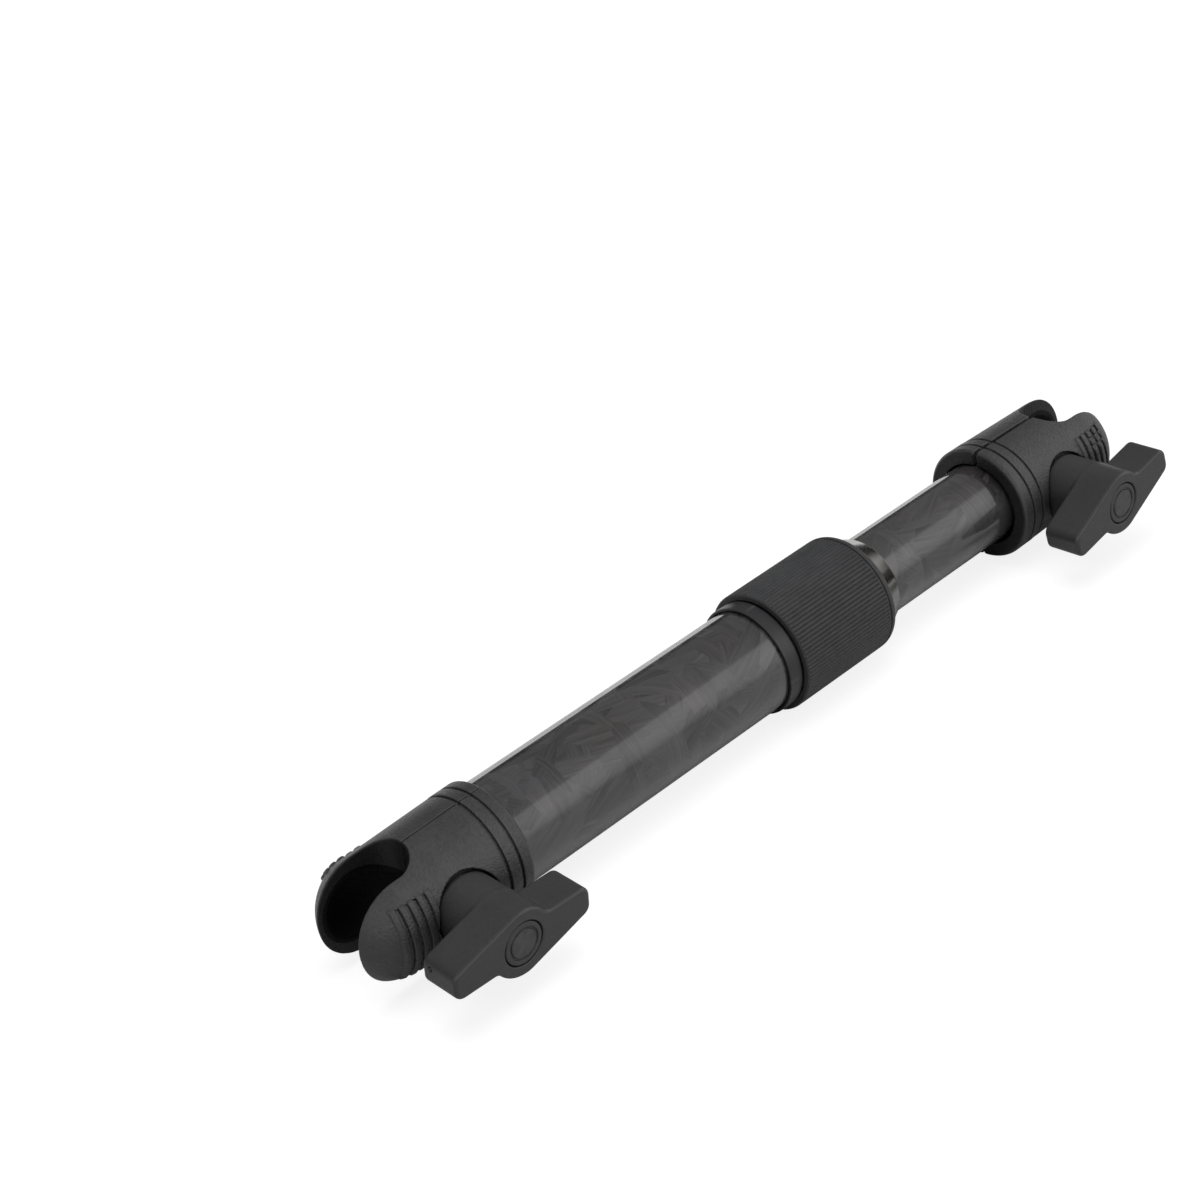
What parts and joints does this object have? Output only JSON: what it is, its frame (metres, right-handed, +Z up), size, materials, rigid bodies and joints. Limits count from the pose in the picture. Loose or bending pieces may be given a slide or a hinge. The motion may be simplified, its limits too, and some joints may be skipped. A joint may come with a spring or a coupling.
{
  "type": "telescoping ball socket support arm",
  "caption": "Telescoping bar of two nested tubes with a ribbed twist-lock collar and a split ball-socket clamp with a wing knob at each end.",
  "frame": {"origin": "ball centre of the base socket, on the bar's axis", "axes": "+X along the bar from the base socket to the tip socket, +Z up, both wing knobs on the -Y side, split faces of the base clamp in the XZ plane"},
  "size_m": [0.3128, 0.0582, 0.0378],
  "materials": {
    "forged_carbon": "forged carbon flake under gloss clear coat",
    "black_anodised": "satin black anodised aluminium",
    "black_anodised_gloss": "bright black anodised aluminium",
    "bare_aluminium": "turned",
    "grip_rubber": "matte ribbed",
    "seal_rubber": "smooth",
    "bright_steel": "zinc plated",
    "black_steel": "black oxide steel",
    "natural_nylon": "natural nylon",
    "clamp_nylon": "fine spark texture, glass-filled nylon",
    "knob_nylon": "smooth satin nylon",
    "insert_brass": "turned"
  },
  "bodies": {
    "outer_bar": {"outer_tube": "forged_carbon", "lock_ferrule": "black_anodised", "base_end_plug": "bare_aluminium"},
    "base_clamp": {"base_shell_fixed": "clamp_nylon", "base_clamp_bolt": "bright_steel", "base_clamp_spring": "bright_steel"},
    "base_jaw": {"base_shell_moving": "clamp_nylon"},
    "base_knob": {"base_knob_body": "knob_nylon", "base_knob_insert": "insert_brass", "base_knob_washer": "black_steel", "base_knob_cap": "knob_nylon"},
    "lock_sleeve": {"lock_nut": "black_anodised", "grip_sleeve": "grip_rubber", "nose_ring": "black_anodised_gloss", "thrust_washer": "bright_steel", "wiper_seal": "seal_rubber"},
    "collet": {"collet": "natural_nylon"},
    "guide_bush": {"guide_bush": "natural_nylon"},
    "inner_bar": {"inner_tube": "forged_carbon", "tip_end_plug": "bare_aluminium", "tail_plug": "bare_aluminium", "stop_ring": "bare_aluminium"},
    "tip_clamp": {"tip_shell_fixed": "clamp_nylon", "tip_clamp_bolt": "bright_steel", "tip_clamp_spring": "bright_steel"},
    "tip_jaw": {"tip_shell_moving": "clamp_nylon"},
    "tip_knob": {"tip_knob_body": "knob_nylon", "tip_knob_insert": "insert_brass", "tip_knob_washer": "black_steel", "tip_knob_cap": "knob_nylon"}
  },
  "joints": [
    {"name": "base_swivel", "type": "hinge", "parent": "outer_bar", "child": "base_clamp", "pos_m": [0.0253, 0, 0], "axis": [1, 0, 0], "continuous": true},
    {"name": "base_jaw_slide", "type": "slide", "parent": "base_clamp", "child": "base_jaw", "axis": [0, -1, 0], "range_m": [0, 0.00508], "deforming": ["base_clamp_spring"]},
    {"name": "base_knob_turn", "type": "hinge", "parent": "base_jaw", "child": "base_knob", "pos_m": [0.0174, 0, 0], "axis": [0, -1, 0], "range_deg": [0, 1440]},
    {"name": "sleeve_twist", "type": "hinge", "parent": "outer_bar", "child": "lock_sleeve", "pos_m": [0.1415, 0, 0], "axis": [1, 0, 0], "range_deg": [-120, 0]},
    {"name": "collet_release", "type": "slide", "parent": "outer_bar", "child": "collet", "axis": [1, 0, 0], "range_m": [0, 0.0005]},
    {"name": "bar_extend", "type": "slide", "parent": "outer_bar", "child": "guide_bush", "axis": [1, 0, 0], "range_m": [-0.051, 0.017]},
    {"name": "inner_spin", "type": "hinge", "parent": "guide_bush", "child": "inner_bar", "pos_m": [0.1038, 0, 0], "axis": [1, 0, 0], "continuous": true},
    {"name": "tip_swivel", "type": "hinge", "parent": "inner_bar", "child": "tip_clamp", "pos_m": [0.2621, 0, 0], "axis": [1, 0, 0], "continuous": true},
    {"name": "tip_jaw_slide", "type": "slide", "parent": "tip_clamp", "child": "tip_jaw", "axis": [0, -0.9966, 0.0819], "range_m": [-0.001, 0.00408], "deforming": ["tip_clamp_spring"]},
    {"name": "tip_knob_turn", "type": "hinge", "parent": "tip_jaw", "child": "tip_knob", "pos_m": [0.27, 0, 0], "axis": [0, -0.9966, 0.0819], "range_deg": [-284, 1157]}
  ],
  "couplings": [
    {"joint": "base_knob_turn", "follows": "base_jaw_slide", "rad_per_m": 4947.4},
    {"joint": "tip_knob_turn", "follows": "tip_jaw_slide", "rad_per_m": 4947.4},
    {"joint": "sleeve_twist", "follows": "collet_release", "rad_per_m": -4188.8}
  ]
}
